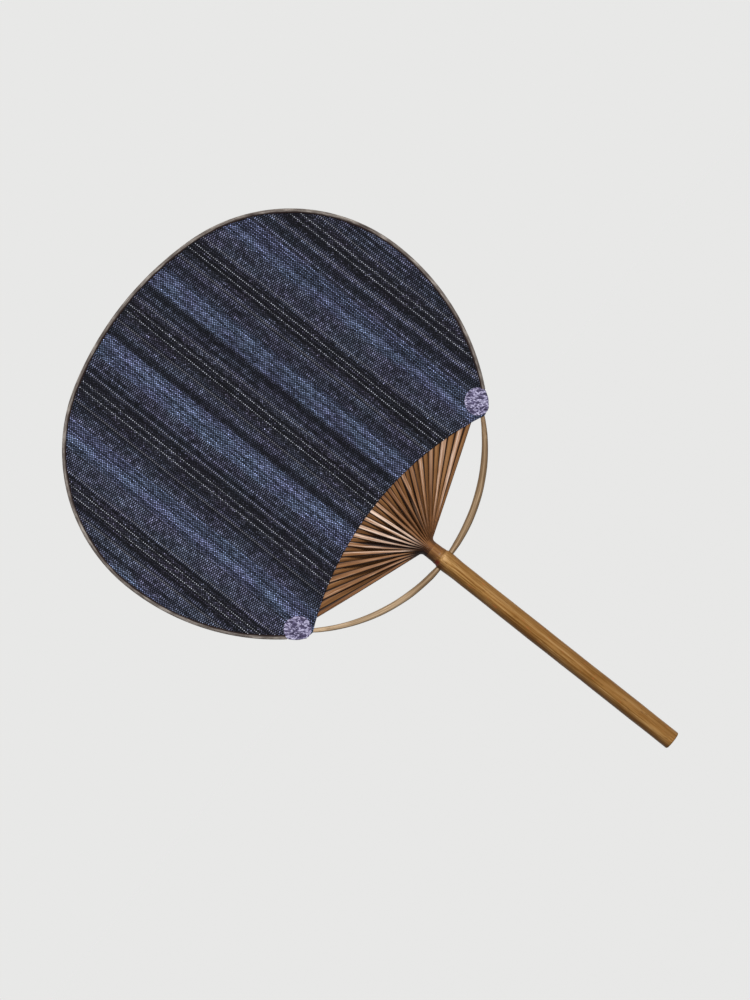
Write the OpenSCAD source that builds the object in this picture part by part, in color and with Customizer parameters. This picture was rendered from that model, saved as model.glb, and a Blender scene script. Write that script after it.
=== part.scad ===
// Round hand fan: a bamboo cane whose top is split into ribs, a bow that spreads them,
// a thread woven along them, and cloth on both faces with an edging tape and two ear patches.
// The fan stands upright, its front towards -Y, with the origin in the middle of the grip.
// Heights named "above the bow" are measured up from the hole that the bow passes through.

/* [Handle] */
// Length of the handle, from its butt end to the bow's hole
handle_length = 140; // [110:1:180]
// Height of the grip's middle above the butt end
grip_height = 70; // [50:1:95]
// Diameter of the cane along the grip
handle_d = 9.4; // [8.8:0.1:11]
// Diameter of the hollow inside the cane
bore_d = 5.2; // [4.4:0.1:5.6]
// Radius of the rounded rim at the butt end
butt_round = 0.8; // [0.3:0.1:1.4]
// Length of the wooden plug in the butt end
plug_length = 14; // [6:1:25]
// Clearance between the plug and the hollow
plug_gap = 0.05; // [0.02:0.01:0.15]

/* [Node and neck] */
// Diameter of the swelling around the bow's hole
swell_d = 10; // [9.6:0.1:12]
// Length over which the grip widens into the swelling
swell_length = 9; // [5:0.5:15]
// Height of the node's groove above the bow
groove_height = 2.5; // [2.2:0.1:3.5]
// Length over which the swelling falls to the groove
shoulder_length = 1.5; // [0.8:0.1:2]
// Depth of the groove below the neck's ridge
groove_depth = 0.3; // [0.1:0.05:0.5]
// Height of the neck's ridge above the neck's surface
ridge_height = 0.2; // [0.1:0.05:0.4]
// Length of the neck's ridge, from the groove
ridge_length = 1.6; // [1:0.1:2.5]
// Distance between the bow's hole and the node's inner wall
node_lift = 0.6; // [0.3:0.1:1.5]
// Thickness of the node's inner wall
node_wall = 1.5; // [1:0.1:2.5]
// Diameter of the neck above the node
neck_d = 8.4; // [8:0.1:9.2]
// Height of the neck's top, where the ribs begin, above the bow
neck_top = 8.6; // [7:0.1:9]

/* [Ribs] */
// Number of ribs on each face; the cane is split into twice as many
ribs_per_face = 20; // [12:1:20]
// Gap between the outermost ribs and the bow's tips
rib_bow_gap = 0.4; // [0.3:0.1:1.5]
// Height above the bow where the ribs' straight stretches begin
split_height = 11.5; // [11.3:0.1:14]
// Radius of each rib's bend out of the neck
rib_bend = 2.8; // [2:0.1:3]
// Share of the spacing between the ribs that a rib fills just before the cloth
rib_fill = 0.72; // [0.62:0.02:0.76]
// Width of a rib between the cloths
rib_width = 1.2; // [0.8:0.05:1.25]
// Width of a rib at its outer end
rib_end_width = 0.9; // [0.6:0.05:1.2]
// Thickness of a rib between the cloths
rib_thickness = 0.6; // [0.5:0.05:0.8]
// Width of the saw cut between two ribs in the neck
split_gap = 0.04; // [0.02:0.01:0.1]
// How much later the ribs from the cane's sides come to the middle plane than its front ones
delay_ratio = 3.5; // [2:0.5:5]
// Distance before the cloth at which the ribs lie in one plane
flat_lead = 1; // [0.5:0.1:4]
// Gap between a rib's outer end and the cloth's edge
rib_end_gap = 0.8; // [0.6:0.1:2]

/* [Disc] */
// Half the width of the disc, with its edging
disc_half_width = 105; // [95:1:115]
// Height of the widest place above the bow
widest_height = 111.5; // [104:0.5:120]
// Height of the disc's top above the bow
disc_top = 198.5; // [190:0.5:206]
// Angle over which the shoulders' arc turns, before the top's arc takes over
shoulder_angle = 73.7; // [60:0.1:80]
// Radius of the lower sides of the disc
side_radius = 115.5; // [110:0.5:122]
// Height of the middle of the cloth's lower edge above the bow
window_height = 43; // [38:0.5:48]
// Radius of the cloth's lower edge
window_radius = 159; // [140:1:190]
// Radius of the cloth's two lower corners
corner_radius = 4; // [2:0.5:6]

/* [Cloth and edging] */
// Thickness of each cloth with its paper backing
cloth_thickness = 0.28; // [0.2:0.02:0.5]
// Clearance between two layers that lie on each other
layer_gap = 0.02; // [0.01:0.01:0.05]
// Thickness of the edging tape
tape_thickness = 0.22; // [0.15:0.01:0.4]
// Width of the edging tape on each face
tape_width = 2.2; // [1.5:0.1:4]

/* [Weaving thread] */
// Diameter of the thread
thread_d = 0.3; // [0.2:0.02:0.34]
// Distance of the thread inside the cloth's lower edge
thread_inset = 2; // [1.4:0.1:4]
// Distance past the middle of the outermost ribs over which the thread keeps its height
thread_hold = 1.2; // [1.1:0.1:1.5]
// Length over which the thread then comes to the middle plane
thread_fall = 1; // [0.6:0.1:1.2]
// Room around the thread inside the cloth's ridge
thread_room = 0.04; // [0.02:0.01:0.1]
// Distance between the thread's fall and the end of the room in the cloth's ridge
ridge_end_gap = 0.3; // [0.1:0.1:1]
// Clearance between the thread's ends and the bow
thread_end_gap = 0.05; // [0.03:0.01:0.2]

/* [Bow] */
// Thickness of the bow in the handle's hole
bow_d = 2.65; // [2.2:0.05:3]
// Widest place of the bow, between the handle and its end
bow_mid_width = 3.1; // [2.7:0.1:3.6]
// Distance from the handle's middle at which the bow has come to its widest
bow_mid_start = 20; // [10:1:25]
// Length over which the bow narrows from its widest to its flat end
bow_taper_length = 32; // [20:1:38]
// Width of the bow where its flat end begins
bow_end_width = 2.3; // [1.6:0.1:2.6]
// Width of the bow's tip
bow_tip_width = 1.2; // [0.8:0.1:1.5]
// Distance of the bow's line below the centre of the cloth's rounded corner
bow_drop = 1.3; // [0.5:0.1:2]
// Length of the bow past the cloth's corner
bow_tip_length = 3.6; // [1:0.1:4]
// Length of the flat end that lies between the cloths
tang_length = 8.5; // [8:0.5:12]
// Length over which the bow is shaved down to its flat end
shave_length = 9; // [5:0.5:15]
// Clearance around the bow in the handle's hole
bow_gap = 0.08; // [0.05:0.01:0.3]

/* [Ear patches] */
// Radius of each ear patch
ear_radius = 6.3; // [5.6:0.1:8]
// Thickness of an ear patch
ear_thickness = 0.28; // [0.2:0.02:0.5]
// Distance of the patch's centre outwards from the corner's centre
ear_out = 2.6; // [1:0.1:4]
// Distance of the patch's centre above the corner's centre
ear_up = 3.1; // [1:0.1:4]

/* [Colours] */
cane_colour = "#a5783c";
plug_colour = "#c9a878";
bow_colour = "#af916e";
front_rib_colour = "#a98763";
back_rib_colour = "#84603c";
thread_colour = "#e8e2d4";
cloth_colour = "#333a4e";
back_cloth_colour = "#3a4158";
tape_colour = "#96826f";
ear_colour = "#a59bbe";

/* [Hidden] */
$fn = 64;

// Heights and radii in the fan's own frame
bow_z = handle_length - grip_height;
butt_z = -grip_height;
grip_r = handle_d / 2;
bore_r = bore_d / 2;
neck_r = neck_d / 2;
swell_r = swell_d / 2;

// The ribs' places around the neck's wall
wall_mid_r = (neck_r + bore_r) / 2;
sector = 180 / ribs_per_face;
last_rib = 2 * ribs_per_face - 1;

// Layers between the faces, as distances from the disc's middle plane
cloth_inner = rib_thickness / 2 + layer_gap;
cloth_outer = cloth_inner + cloth_thickness;
leaf_inner = cloth_outer + layer_gap;

// The arcs that make the disc's outline: the shoulders' arc leaves the widest place upright,
// and the top's arc goes on where it ends, to be level in the middle. Centres are
// [x, height above the bow].
top_rise = disc_top - widest_height;
top_radius = (disc_half_width - top_rise * tan(shoulder_angle / 2)) / (1 - tan(shoulder_angle / 2));
top_centre = [0, disc_top - top_radius];
shoulder_radius = top_radius - (top_radius - top_rise) / sin(shoulder_angle);
shoulder_centre = [disc_half_width - shoulder_radius, widest_height];
side_centre = [disc_half_width - side_radius, widest_height];
window_centre = [0, window_height - window_radius];
cloth_inset = tape_thickness + layer_gap;
// The side arcs are drawn this far down, past the corners that the cloth and ears have,
// with a point at each step of their angle
side_low_angle = -62;
side_step_angle = 2;

// The cloth's rounded corner touches its side arc and its lower edge
corner_centre = meeting_point(window_centre, window_radius + corner_radius,
    side_centre, side_radius - cloth_inset - corner_radius);

// The thread's line, and the ridge that it raises in the cloth
weave_radius = window_radius + thread_inset;
weave_height = rib_thickness / 2 + layer_gap + thread_d / 2;
ridge_inner = weave_height + thread_d / 2 + thread_room;
ridge_outer = ridge_inner + cloth_thickness;
ridge_end = thread_hold + thread_fall + ridge_end_gap;

// The bow's circle passes through the handle's hole and below the cloth's corners
bow_pass = corner_centre - [0, bow_drop];
bow_radius = (bow_pass.x ^ 2 + bow_pass.y ^ 2) / (2 * bow_pass.y);
bow_tip_angle = asin(bow_pass.x / bow_radius) + bow_tip_length / bow_radius * 180 / PI;
bow_tip = bow_radius * [sin(bow_tip_angle), 1 - cos(bow_tip_angle)];

// The handle's hole is straight, so it leaves room for the bow's rise inside the swelling
bow_rise = bow_radius - sqrt(bow_radius ^ 2 - swell_r ^ 2);
bow_hole_r = bow_d / 2 + bow_gap + bow_rise / 2;

// The outermost ribs pass the bow's tips at their gap, and the rest share the angle between
tip_way = bow_tip - rib_start(last_rib);
widest_lean = atan2(tip_way.x, tip_way.y)
    - asin((rib_width / 2 + bow_tip_width / 2 + rib_bow_gap) / norm(tip_way));
rib_pitch = 2 * widest_lean / last_rib;

ear_centre = corner_centre + [ear_out, ear_up];

// Distance from start to the far side of a circle, towards an angle measured from upright
function reach_circle(start, lean, centre, radius) =
    let (d = start - centre, along = d.x * sin(lean) + d.y * cos(lean))
    sqrt(along ^ 2 - d * d + radius ^ 2) - along;

// The meeting point of two circles that lies on the right of the line between their centres
function meeting_point(c1, r1, c2, r2) =
    let (line = c2 - c1, gap = norm(line), u = line / gap,
        along = (gap ^ 2 + r1 ^ 2 - r2 ^ 2) / (2 * gap),
        off = sqrt(r1 ^ 2 - along ^ 2))
    c1 + along * u + off * [u.y, -u.x];

// Points along an arc; skip leaves out as many at each end, which a neighbour has
function arc(centre, radius, from, to, steps, skip = 0) =
    [for (k = [skip : steps - skip]) let (a = from + (to - from) * k / steps)
        centre + radius * [cos(a), sin(a)]];

// Points along a smooth step from one place to another, after the first
function soft_step(from, to, steps) =
    [for (k = [1 : steps]) let (t = k / steps)
        [from.x + (to.x - from.x) * (1 - cos(180 * t)) / 2, from.y + (to.y - from.y) * t]];

function angle_to(from, to) = atan2(to.y - from.y, to.x - from.x);

// The left half of an outline whose right half ends at the top, in the middle
function flipped(points) = [for (k = [len(points) - 2 : -1 : 0]) [-points[k].x, points[k].y]];

// The right half of the disc's edge above an angle of its side arc, moved out by an offset;
// the side arc's points lie at the same angles at every offset, so that layers nest
function right_edge(offset, low_angle) =
    let (first = (floor(low_angle / side_step_angle) + 1) * side_step_angle)
    concat([for (a = [low_angle, each [first : side_step_angle : 0]])
            side_centre + (side_radius + offset) * [cos(a), sin(a)]],
        arc(shoulder_centre, shoulder_radius + offset, 0, shoulder_angle, 21, 1),
        arc(top_centre, top_radius + offset, shoulder_angle, 90, 10));

// The whole disc's edge, closed by a straight line well below the cloth
function disc_outline(offset) =
    let (half = right_edge(offset, side_low_angle))
    concat(half, flipped(half));

// The cloth: the disc's edge, two rounded corners and the arched lower edge
function cloth_outline() =
    let (corner_in = angle_to(corner_centre, window_centre),
        corner_out = angle_to(side_centre, corner_centre),
        edge_angle = angle_to(window_centre, corner_centre),
        half = concat(arc(corner_centre, corner_radius, corner_in, corner_out, 6, 1),
            right_edge(-cloth_inset, corner_out)))
    concat(half, flipped(half), arc(window_centre, window_radius, 180 - edge_angle, edge_angle, 32));

// Distance from start to the disc's edge, moved out by an offset, at a lean from upright
function reach_edge(start, lean, offset) =
    let (side = lean < 0 ? -1 : 1, way = [sin(lean), cos(lean)],
        top = reach_circle(start, lean, top_centre, top_radius + offset),
        shoulder = reach_circle(start, lean, [side * shoulder_centre.x, shoulder_centre.y],
            shoulder_radius + offset),
        flank = reach_circle(start, lean, [side * side_centre.x, side_centre.y],
            side_radius + offset),
        join_x = top_centre.x + (top_radius + offset) * cos(shoulder_angle))
    abs(start.x + top * way.x) <= join_x ? top
        : start.y + shoulder * way.y >= widest_height ? shoulder : flank;

// Draws a flat outline of [x, height] as a plate; depths count towards the front
module plate(back, front) {
    translate([0, -back, bow_z])
        rotate([90, 0, 0])
            linear_extrude(front - back)
                children();
}

// Skins a row of rings, each with the same number of points, and closes both ends
module skin(rings) {
    sides = len(rings[0]);
    last = (len(rings) - 1) * sides;
    polyhedron(
        points = [for (ring = rings) each ring],
        faces = concat(
            [[for (k = [0 : sides - 1]) k]],
            [for (row = [0 : len(rings) - 2], k = [0 : sides - 1])
                let (a = row * sides + k, b = row * sides + (k + 1) % sides)
                each [[a, a + sides, b + sides], [a, b + sides, b]]],
            [[for (k = [sides - 1 : -1 : 0]) last + k]]));
}

// Outer profile of the cane, as [radius, height above the bow]
function cane_profile() =
    let (swell_foot = [grip_r, -swell_length], shoulder = [swell_r, groove_height - shoulder_length],
        ridge_r = neck_r + ridge_height, groove = [ridge_r - groove_depth, groove_height],
        ridge = [ridge_r, groove_height + groove_depth], foot = [neck_r, groove_height + ridge_length])
    concat(arc([grip_r - butt_round, butt_z - bow_z + butt_round], butt_round, -90, 0, 5),
        [swell_foot], soft_step(swell_foot, [swell_r, 0], 6),
        [shoulder], soft_step(shoulder, groove, 4), soft_step(groove, ridge, 2),
        soft_step(ridge, foot, 3), [[neck_r, neck_top]]);

module handle() {
    node_low = bow_hole_r + node_lift;
    color(cane_colour)
        translate([0, 0, bow_z])
            difference() {
                rotate_extrude()
                    polygon(concat(cane_profile(), [[bore_r, neck_top],
                        [bore_r, node_low + node_wall], [0, node_low + node_wall],
                        [0, node_low], [bore_r, node_low], [bore_r, butt_z - bow_z]]));
                translate([0, 0, bow_rise / 2])
                    rotate([0, 90, 0])
                        cylinder(r = bow_hole_r, h = 2 * swell_d, center = true);
            }
}

// The plug closes the hollow cane, with a low dome flush with the butt's rounding
module handle_plug() {
    plug_r = bore_r - plug_gap;
    dome = butt_round / 2;
    color(plug_colour)
        translate([0, 0, butt_z])
            rotate_extrude()
                polygon(concat([for (k = [0 : 6]) let (t = k / 6)
                    [plug_r * sin(90 * t), dome * (1 - cos(90 * t))]],
                    [[plug_r, plug_length], [0, plug_length]]));
}

// The bow is round in the handle, widest midway and flat between the cloths
function along_bow(angle) = abs(angle) * PI / 180 * bow_radius;

function bow_width(angle) =
    let (tang_start = along_bow(bow_tip_angle) - tang_length)
    lookup(along_bow(angle), [[swell_r, bow_d], [bow_mid_start, bow_mid_width],
        [tang_start - bow_taper_length, bow_mid_width], [tang_start, bow_end_width],
        [tang_start + tang_length, bow_tip_width]]);

function bow_thickness(angle) =
    let (tang_start = along_bow(bow_tip_angle) - tang_length)
    lookup(along_bow(angle), [[tang_start - shave_length, bow_d], [tang_start, rib_thickness]]);

module bow() {
    steps = 52;
    sides = 14;
    color(bow_colour)
        translate([0, 0, bow_z])
            skin([for (k = [-steps / 2 : steps / 2])
                let (a = bow_tip_angle * 2 * k / steps, w = bow_width(a) / 2, t = bow_thickness(a) / 2)
                [for (s = [0 : sides - 1]) let (turn = -360 * s / sides, r = bow_radius - w * cos(turn))
                    [r * sin(a), t * sin(turn), bow_radius - r * cos(a)]]]);
}

// Angle of each step in a rib's bend, and the number of steps to the middle plane
bend_step_angle = 18;
flat_steps = 5;

// A rib's place, numbered from the left; even ribs come from the front of the cane
function rib_lean(i) = (i - last_rib / 2) * rib_pitch;
function rib_turn(i) = (floor(i / 2) + 0.5) * sector - 90;
function rib_start(i) = [wall_mid_r * sin(rib_turn(i)), split_height];

// Corners of a rib's section in the neck, a slice of the cane's wall
function slice_corners(turn) =
    let (half = sector / 2 - split_gap / 2 / wall_mid_r * 180 / PI)
    [for (c = [[neck_r, -half], [neck_r, half], [bore_r, half], [bore_r, -half]])
        [c[0] * sin(turn + c[1]) - wall_mid_r * sin(turn),
            c[0] * cos(turn + c[1]) - wall_mid_r * cos(turn)]];

// Corners of a rib's flat section, starting at the corner nearest to the slice's first
function flat_corners(turn, width) =
    let (w = width / 2, t = rib_thickness / 2, box = [[-w, t], [w, t], [w, -t], [-w, -t]],
        first = abs(turn) < 45 ? 0 : turn > 0 ? 1 : 3)
    [for (k = [0 : 3]) box[(k + first) % 4]];

function rib_ring(place, lean, depth, corners) =
    [for (c = corners) [place.x + c.x * cos(lean), -depth - c.y, place.y - c.x * sin(lean)]];

// A rib rises out of the neck, bends outwards and comes to the middle plane, widest where the
// cloth begins. Under the cloth it narrows before the thread and runs on to the edge. The
// outermost ribs stay narrow, clear of the bow.
module rib(i) {
    lean = rib_lean(i);
    turn = rib_turn(i);
    start = rib_start(i);
    side = sign(lean);
    bend_in = rib_bend * tan(abs(lean) / 2);
    bend_steps = ceil(abs(lean) / bend_step_angle);
    depth = wall_mid_r * cos(turn);
    flat_at = reach_circle(start, lean, window_centre, window_radius - flat_lead);
    cloth_at = reach_circle(start, lean, window_centre, window_radius);
    narrow_at = reach_circle(start, lean, window_centre, window_radius + thread_inset / 2);
    end_at = reach_edge(start, lean, -cloth_inset - rib_end_gap);
    delay = 1 + delay_ratio * sin(turn) ^ 2;
    way = [sin(lean), cos(lean)];
    slice = slice_corners(turn);
    outermost = i == 0 || i == last_rib;
    wide = outermost ? rib_width : rib_fill * cloth_at * rib_pitch * PI / 180;
    flat = flat_corners(turn, wide);
    skin(concat(
        [rib_ring([start.x, neck_top], 0, depth, slice)],
        [for (k = [0 : bend_steps]) let (a = lean * k / bend_steps)
            rib_ring([start.x + side * rib_bend * (1 - cos(a)),
                split_height - bend_in + rib_bend * sin(abs(a))], a, depth, slice)],
        [for (t = [1 / flat_steps : 1 / flat_steps : 1]) let (f = t ^ delay)
            rib_ring(start + (bend_in + (flat_at - bend_in) * t) * way, lean, depth * (1 - f),
                (1 - f) * slice + f * flat)],
        [rib_ring(start + cloth_at * way, lean, 0, flat)],
        [rib_ring(start + narrow_at * way, lean, 0, flat_corners(turn, rib_width))],
        [rib_ring(start + end_at * way, lean, 0, flat_corners(turn, rib_end_width))]));
}

module front_ribs() {
    color(front_rib_colour)
        translate([0, 0, bow_z])
            for (i = [0 : 2 : last_rib])
                rib(i);
}

module back_ribs() {
    color(back_rib_colour)
        translate([0, 0, bow_z])
            mirror([0, 1, 0])
                for (i = [1 : 2 : last_rib])
                    rib(i);
}

// Where a rib crosses the thread's line, as an angle about the centre of that line
function weave_angle(i) =
    let (start = rib_start(i), reach = reach_circle(start, rib_lean(i), window_centre, weave_radius))
    atan2(start.x + reach * sin(rib_lean(i)), start.y + reach * cos(rib_lean(i)) - window_centre.y);

// The thread's line meets a circle about the bow's centre here, and its ends stop short of
// the bow's inner edges there
function thread_meets(radius) = meeting_point(window_centre, weave_radius, [0, bow_radius], radius);

thread_end =
    let (crossing = thread_meets(bow_radius),
        bow_half = bow_width(atan2(crossing.x, bow_radius - crossing.y)) / 2)
    thread_meets(bow_radius - bow_half - thread_d / 2 - thread_end_gap);
thread_end_angle = atan2(thread_end.x, thread_end.y - window_centre.y);

// The angle of the thread's line at a distance past the outermost rib
function past_ribs(distance) = weave_angle(last_rib) + distance / weave_radius * 180 / PI;

// The thread passes before each front rib and behind each back rib
module weaving_thread() {
    sides = 6;
    hold_angle = past_ribs(thread_hold);
    fall_angle = past_ribs(thread_hold + thread_fall);
    crossings = [for (i = [0 : last_rib]) weave_angle(i)];
    knots = concat(
        [[-thread_end_angle, 0], [-fall_angle, 0], [-hold_angle, weave_height]],
        [for (i = [0 : last_rib], u = i < last_rib ? [0, 1 / 3, 2 / 3] : [0])
            let (from = crossings[i], to = i < last_rib ? crossings[i + 1] : from)
            [from + (to - from) * u, weave_height * (i % 2 == 0 ? 1 : -1) * (u > 0.5 ? -1 : 1)]],
        [[hold_angle, -weave_height], [fall_angle, 0], [thread_end_angle, 0]]);
    spots = [for (k = knots)
        [weave_radius * sin(k[0]), -k[1], window_centre.y + weave_radius * cos(k[0])]];
    color(thread_colour)
        translate([0, 0, bow_z])
            skin([for (n = [0 : len(spots) - 1])
                let (ahead = spots[min(n + 1, len(spots) - 1)] - spots[max(n - 1, 0)],
                    out = [sin(knots[n][0]), 0, cos(knots[n][0])],
                    along = ahead - (ahead * out) * out,
                    across = cross(along, out) / norm(cross(along, out)))
                [for (s = [0 : sides - 1]) spots[n]
                    + thread_d / 2 * (cos(360 * s / sides) * out + sin(360 * s / sides) * across)]]);
}

// A ring along the thread's line, in front of the middle plane, that ends at a distance
// past the outermost ribs
module thread_ring(radius, lowest, distance) {
    end_angle = past_ribs(distance);
    translate([0, 0, bow_z + window_centre.y])
        rotate([90, 0, 0])
            rotate_extrude(angle = 2 * end_angle, start = 90 - end_angle)
                intersection() {
                    translate([weave_radius, 0])
                        circle(r = radius);
                    translate([weave_radius - 2 * radius, lowest])
                        square([4 * radius, 2 * radius]);
                }
}

// One face's cloth, with the ridge that the woven thread raises along its lower edge
module cloth() {
    difference() {
        union() {
            plate(cloth_inner, cloth_outer)
                polygon(cloth_outline());
            thread_ring(ridge_outer, cloth_inner, ridge_end + cloth_thickness);
        }
        thread_ring(ridge_inner, 0, ridge_end);
    }
}

module front_cloth() {
    color(cloth_colour)
        cloth();
}

module back_cloth() {
    color(back_cloth_colour)
        mirror([0, 1, 0])
            cloth();
}

module ear_shape(side, margin) {
    translate([side * ear_centre.x, ear_centre.y])
        circle(r = ear_radius + margin);
}

// The tape is folded over the edge, from one ear over the top to the other
module edging_tape() {
    face = leaf_inner + tape_thickness;
    color(tape_colour)
        difference() {
            plate(-face, face)
                difference() {
                    polygon(disc_outline(0));
                    polygon(disc_outline(-tape_width));
                    translate([-disc_half_width, ear_centre.y - 2 * disc_half_width])
                        square(2 * disc_half_width);
                    ear_shape(-1, layer_gap);
                    ear_shape(1, layer_gap);
                }
            plate(-leaf_inner, leaf_inner)
                polygon(disc_outline(-tape_thickness));
        }
}

// The bow's right flat end as seen from the front, with a clearance
module bow_strip() {
    half = bow_end_width / 2 + layer_gap;
    polygon(concat(arc([0, bow_radius], bow_radius + half, -90, 0, 60),
        arc([0, bow_radius], bow_radius - half, 0, -90, 60)));
}

// The ridges of both faces, with a clearance or a layer around them
module both_ridges(margin) {
    for (side = [0, 1])
        mirror([0, side, 0])
            thread_ring(ridge_outer + margin, 0, ridge_end + cloth_thickness + margin);
}

// The right ear patch is folded over the cloth's corner and the bow's flat end, and over the
// ends of the cloth's ridges where it reaches them
module right_ear_patch() {
    face = leaf_inner + ear_thickness;
    color(ear_colour)
        difference() {
            intersection() {
                union() {
                    plate(-face, face)
                        polygon(disc_outline(0));
                    both_ridges(layer_gap + ear_thickness);
                }
                plate(-handle_d, handle_d)
                    intersection() {
                        ear_shape(1, 0);
                        polygon(disc_outline(0));
                    }
            }
            plate(-leaf_inner, leaf_inner)
                polygon(cloth_outline());
            plate(-cloth_inner, cloth_inner)
                bow_strip();
            both_ridges(layer_gap);
        }
}

module left_ear_patch() {
    mirror([1, 0, 0])
        right_ear_patch();
}

handle();
handle_plug();
bow();
front_ribs();
back_ribs();
weaving_thread();
front_cloth();
back_cloth();
edging_tape();
left_ear_patch();
right_ear_patch();
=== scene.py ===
"""Round hand fan: camera, light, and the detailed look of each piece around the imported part."""

import math

import bmesh
import bpy
import numpy as np
from mathutils import Matrix, Vector


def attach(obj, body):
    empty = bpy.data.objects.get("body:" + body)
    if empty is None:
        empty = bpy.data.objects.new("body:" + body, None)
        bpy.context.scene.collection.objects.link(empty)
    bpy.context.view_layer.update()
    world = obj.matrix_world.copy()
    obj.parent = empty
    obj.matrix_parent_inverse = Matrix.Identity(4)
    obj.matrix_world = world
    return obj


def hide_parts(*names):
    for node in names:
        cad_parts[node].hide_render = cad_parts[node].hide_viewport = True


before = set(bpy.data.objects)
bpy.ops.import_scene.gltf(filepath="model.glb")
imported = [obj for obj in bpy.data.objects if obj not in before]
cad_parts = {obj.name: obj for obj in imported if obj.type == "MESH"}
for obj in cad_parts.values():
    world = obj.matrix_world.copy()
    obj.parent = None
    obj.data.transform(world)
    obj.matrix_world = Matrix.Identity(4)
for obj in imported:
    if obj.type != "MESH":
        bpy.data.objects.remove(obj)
scene = bpy.context.scene
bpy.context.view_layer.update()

MM = 0.001
rng = np.random.default_rng(11)

# ---- camera

CAMERA_UP = Vector((0.784, 0, 0.6207))
CAMERA_RIGHT = Vector((0.6207, 0, -0.784))
VIEW_HEIGHT = 0.4817
CAMERA_DISTANCE = 1.6
AIM_X, AIM_Z = 0.002, 0.1145
SENSOR = 36

camera_data = bpy.data.cameras.new("photo_camera")
camera_data.sensor_fit = "VERTICAL"
camera_data.sensor_width = camera_data.sensor_height = SENSOR
camera_data.lens = SENSOR * CAMERA_DISTANCE / VIEW_HEIGHT
camera_data.clip_end = 500
camera = bpy.data.objects.new("photo_camera", camera_data)
turn = Matrix((CAMERA_RIGHT, CAMERA_UP, (0, -1, 0))).transposed()
camera.matrix_world = Matrix.Translation((AIM_X, -CAMERA_DISTANCE, AIM_Z)) @ turn.to_4x4()
scene.collection.objects.link(camera)
scene.camera = camera
scene.view_settings.view_transform = "Standard"

# ---- sizes of the part, in mm

BOW_Z = 70.0            # height of the bow's hole; the heights below are measured from it
GRIP_R, BORE_R, SWELL_R, NECK_R = 4.7, 2.6, 5.0, 4.2
BUTT, BUTT_ROUND, NECK_TOP = -140.0, 0.8, 8.6
NODE_WALL, NODE_HOLE_R = (2.075, 3.575), 0.35       # the wall inside the cane, at its node
BOW_HOLE_R, BOW_HOLE_RISE = 1.475, 0.07
WALL_MID = (NECK_R + BORE_R) / 2
RIBS, SPLIT_HEIGHT, RIB_BEND = 40, 11.5, 2.8
RIB_WIDTH, RIB_END_WIDTH, RIB_THICK = 1.2, 0.9, 0.6
DELAY, RIB_END_GAP = 3.5, 0.8
LAST_LEAN = 70.187                    # the outermost ribs' lean, in degrees
RIB_PITCH = math.radians(2 * LAST_LEAN / (RIBS - 1))
SECTOR = math.radians(360 / RIBS)     # between neighbours of one face, seen along the cane
SLICE_GAP = 0.004                     # in radians, on each side of a slice
HALF_WIDTH, WIDEST, DISC_TOP = 105.0, 111.5, 198.5
SHOULDER_ANGLE = math.radians(73.7)
SIDE_R, WINDOW_R, CORNER_R, CLOTH_INSET = 115.5, 159.0, 4.0, 0.24
WINDOW_HEIGHT = 43.0
WINDOW_C = np.array([0.0, WINDOW_HEIGHT - WINDOW_R])
THREAD_INSET, WEAVE_DEPTH, STRAND_R, TWIST_LENGTH = 2.0, 0.47, 0.074, 1.1
BOW_R, BOW_TIP = 89.30, math.radians(51.55)
CLOTH_FACE, CLOTH_THICK, CLOTH_SAG = 0.60, 0.25, 0.085
LEAF_INNER, TAPE_THICK, TAPE_WIDTH = 0.62, 0.22, 2.2
TAPE_SEAM = (-69.3, 180.3)
EAR_R, EAR_THICK, EAR_CROWN, EAR_FOLD_R = 6.3, 0.28, 0.08, 0.5
EAR_FROM_CORNER = (2.6, 3.1)


def heading(lean):
    """The way that leans by an angle from upright, to the right."""
    return np.array([math.sin(lean), math.cos(lean)])


def meeting_point(c1, r1, c2, r2):
    """Where two circles meet, on the right of the line from c1 to c2."""
    line = c2 - c1
    gap = np.hypot(*line)
    unit = line / gap
    along = (gap ** 2 + r1 ** 2 - r2 ** 2) / (2 * gap)
    return c1 + along * unit + math.sqrt(r1 ** 2 - along ** 2) * np.array([unit[1], -unit[0]])


def reach_circle(start, lean, centre, radius):
    """Distance from start to the far side of a circle, at a lean from upright."""
    d = start - centre
    along = d @ heading(lean)
    square = along ** 2 - d @ d + radius ** 2
    return math.sqrt(square) - along if square > 0 else math.nan


SIDE_C = np.array([HALF_WIDTH - SIDE_R, WIDEST])
top_rise = DISC_TOP - WIDEST
half_tan = math.tan(SHOULDER_ANGLE / 2)
TOP_R = (HALF_WIDTH - top_rise * half_tan) / (1 - half_tan)
TOP_C = np.array([0, DISC_TOP - TOP_R])
SHOULDER_R = TOP_R - (TOP_R - top_rise) / math.sin(SHOULDER_ANGLE)
SHOULDER_C = np.array([HALF_WIDTH - SHOULDER_R, WIDEST])
CORNER_C = meeting_point(WINDOW_C, WINDOW_R + CORNER_R, SIDE_C, SIDE_R - CLOTH_INSET - CORNER_R)
EAR_C = CORNER_C + np.array(EAR_FROM_CORNER)


def arc(centre, radius, start, end, step):
    """Points along an arc, about step apart."""
    count = max(2, int(abs(end - start) * radius / step) + 1)
    angles = np.linspace(start, end, count)
    return centre + radius * np.stack([np.cos(angles), np.sin(angles)], 1)


def outline(offset, low_angle, step):
    """The disc's edge from its right side over the top to its left side, moved out by offset."""
    right = np.concatenate([
        arc(SIDE_C, SIDE_R + offset, low_angle, 0, step)[:-1],
        arc(SHOULDER_C, SHOULDER_R + offset, 0, SHOULDER_ANGLE, step)[:-1],
        arc(TOP_C, TOP_R + offset, SHOULDER_ANGLE, math.pi / 2, step)])
    return np.concatenate([right, right[-2::-1] * [-1, 1]])


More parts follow.
